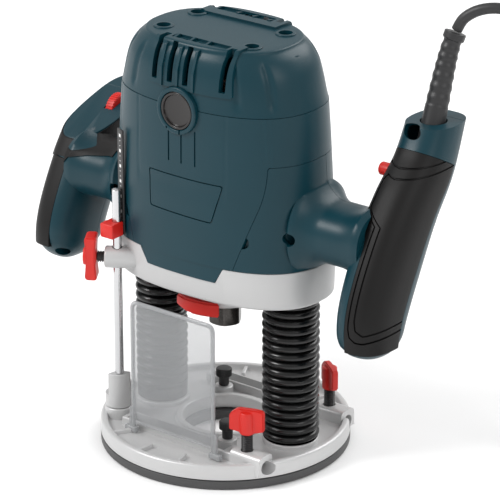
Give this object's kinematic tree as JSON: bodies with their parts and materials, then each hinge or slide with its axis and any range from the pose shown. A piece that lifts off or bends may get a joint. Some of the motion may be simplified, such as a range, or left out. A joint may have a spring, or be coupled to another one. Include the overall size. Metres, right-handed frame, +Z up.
{
  "type": "plunge router",
  "caption": "Plunge router with a round base, guide columns in rubber bellows, a clear chip guard, a motor head with side handles, a step-turret depth stop and a coiled mains cord.",
  "frame": {"origin": "centre of the sole's underside, on the spindle's axis", "axes": "+Z up along the spindle, -Y towards the user, +X towards the handle with the switch and the cord"},
  "size_m": [0.469, 0.1865, 0.299],
  "materials": {
    "teal_plastic": "fine-textured moulded plastic, dark teal",
    "red_plastic": "moulded plastic, bright red",
    "black_plastic": "moulded plastic, black",
    "cord_rubber": "smooth black cable sheath",
    "black_rubber": "soft matt rubber, black",
    "cast_aluminium": "die cast, fine matt silver",
    "steel": "ground steel",
    "black_steel": "blackened steel",
    "bright_steel": "polished plated steel",
    "spring_steel": "oiled spring steel",
    "bronze": "sintered bronze",
    "motor_iron": "varnished laminations and windings",
    "copper": "turned copper bars",
    "clear_plastic": "clear polycarbonate"
  },
  "bodies": {
    "base": {"base_plate": "cast_aluminium", "base_sole": "black_plastic", "sole_screw_1": "steel", "sole_screw_2": "steel", "sole_screw_3": "steel", "column_left": "steel", "column_right": "steel", "bellows_left": "black_rubber", "bellows_right": "black_rubber", "plunge_spring_left": "spring_steel", "plunge_spring_right": "spring_steel", "chip_guard": "clear_plastic", "turret_screw": "steel", "cord_tube": "cord_rubber", "cord_coil": "cord_rubber", "cord_plug": "cord_rubber"},
    "head": {"motor_bracket": "cast_aluminium", "guide_bush_left": "bronze", "guide_bush_right": "bronze", "motor_housing": "teal_plastic", "top_cap": "teal_plastic", "cap_screw_1": "steel", "cap_screw_2": "steel", "cap_screw_3": "steel", "cap_screw_4": "steel", "handle_right_front": "teal_plastic", "handle_right_rear": "teal_plastic", "grip_right": "black_rubber", "handle_left_front": "teal_plastic", "handle_left_rear": "teal_plastic", "grip_left": "black_rubber", "switch_module": "black_plastic", "stator": "motor_iron", "bearing_lower": "steel", "bearing_upper": "steel", "carbon_brush_front": "motor_iron", "carbon_brush_rear": "motor_iron", "brush_cap_front": "black_plastic", "brush_cap_rear": "black_plastic", "scale_strip": "black_plastic", "strain_relief": "cord_rubber"},
    "turret": {"stop_turret": "cast_aluminium"},
    "front_guide_screw": {"guide_screw_front": "red_plastic"},
    "rear_guide_screw": {"guide_screw_rear": "red_plastic"},
    "front_ring_screw": {"ring_screw_front": "black_plastic"},
    "rear_ring_screw": {"ring_screw_rear": "black_plastic"},
    "rotor": {"spindle": "steel", "armature_core": "motor_iron", "commutator": "copper", "cooling_fan": "black_plastic", "collet": "spring_steel"},
    "nut": {"collet_nut": "black_steel"},
    "lock_pad": {"spindle_lock": "red_plastic"},
    "plunge_lever": {"plunge_lock_lever": "red_plastic"},
    "stop_rod": {"depth_rod": "bright_steel"},
    "cursor": {"depth_cursor": "red_plastic"},
    "stop_screw": {"depth_screw": "red_plastic"},
    "trigger": {"switch_trigger": "black_plastic"},
    "lock_button": {"lock_on_button": "red_plastic"},
    "dial": {"speed_dial": "red_plastic"}
  },
  "joints": [
    {"name": "plunge", "type": "slide", "parent": "base", "child": "head", "axis": [0, 0, 1], "range_m": [-0.055, 0], "stiffness_N_per_m": 600, "springref_m": 0.1, "deforming": ["bellows_left", "bellows_right", "plunge_spring_left", "plunge_spring_right"]},
    {"name": "turret_turn", "type": "hinge", "parent": "base", "child": "turret", "pos_m": [-0.0566, -0.039, 0.02], "axis": [0, 0, 1], "continuous": true},
    {"name": "front_guide_screw_turn", "type": "hinge", "parent": "base", "child": "front_guide_screw", "pos_m": [0.0509, -0.0428, 0.03], "axis": [0, 0, 1], "continuous": true},
    {"name": "rear_guide_screw_turn", "type": "hinge", "parent": "base", "child": "rear_guide_screw", "pos_m": [0.0509, 0.0428, 0.03], "axis": [0, 0, 1], "continuous": true},
    {"name": "front_ring_screw_turn", "type": "hinge", "parent": "base", "child": "front_ring_screw", "pos_m": [0.026, -0.031, 0.03], "axis": [0, 0, 1], "continuous": true},
    {"name": "rear_ring_screw_turn", "type": "hinge", "parent": "base", "child": "rear_ring_screw", "pos_m": [-0.026, 0.031, 0.03], "axis": [0, 0, 1], "continuous": true},
    {"name": "spindle_turn", "type": "hinge", "parent": "head", "child": "rotor", "pos_m": [0, 0, 0.1], "axis": [0, 0, 1], "continuous": true},
    {"name": "collet_nut_turn", "type": "hinge", "parent": "rotor", "child": "nut", "pos_m": [0, 0, 0.09], "axis": [0, 0, 1], "continuous": true},
    {"name": "spindle_lock_press", "type": "slide", "parent": "head", "child": "lock_pad", "axis": [0, 1, 0], "range_m": [0, 0.002], "stiffness_N_per_m": 600},
    {"name": "plunge_lock_turn", "type": "hinge", "parent": "head", "child": "plunge_lever", "pos_m": [-0.0522, 0.047, 0.1235], "axis": [0, 1, 0], "range_deg": [0, 35], "stiffness_Nm_per_rad": 0.3, "springref_deg": -17.19},
    {"name": "depth_rod_slide", "type": "slide", "parent": "head", "child": "stop_rod", "axis": [0, 0, 1], "range_m": [0, 0.055]},
    {"name": "depth_cursor_slide", "type": "slide", "parent": "stop_rod", "child": "cursor", "axis": [0, 0, 1], "range_m": [-0.003, 0.012]},
    {"name": "depth_screw_turn", "type": "hinge", "parent": "head", "child": "stop_screw", "pos_m": [-0.053, -0.042, 0.1235], "axis": [-0.8398, -0.5429, 0], "continuous": true},
    {"name": "trigger_pull", "type": "slide", "parent": "head", "child": "trigger", "axis": [0, -0.8415, 0.5403], "range_m": [0, 0.0055], "stiffness_N_per_m": 400},
    {"name": "lock_on_press", "type": "slide", "parent": "head", "child": "lock_button", "axis": [1, 0, 0], "range_m": [0, 0.0025], "stiffness_N_per_m": 300},
    {"name": "speed_dial_turn", "type": "hinge", "parent": "head", "child": "dial", "pos_m": [-0.1175, 0.0368, 0.186], "axis": [1, 0, 0], "range_deg": [-140, 140]}
  ],
  "couplings": [
    {"joint": "depth_rod_slide", "follows": "plunge", "ratio": -1}
  ]
}
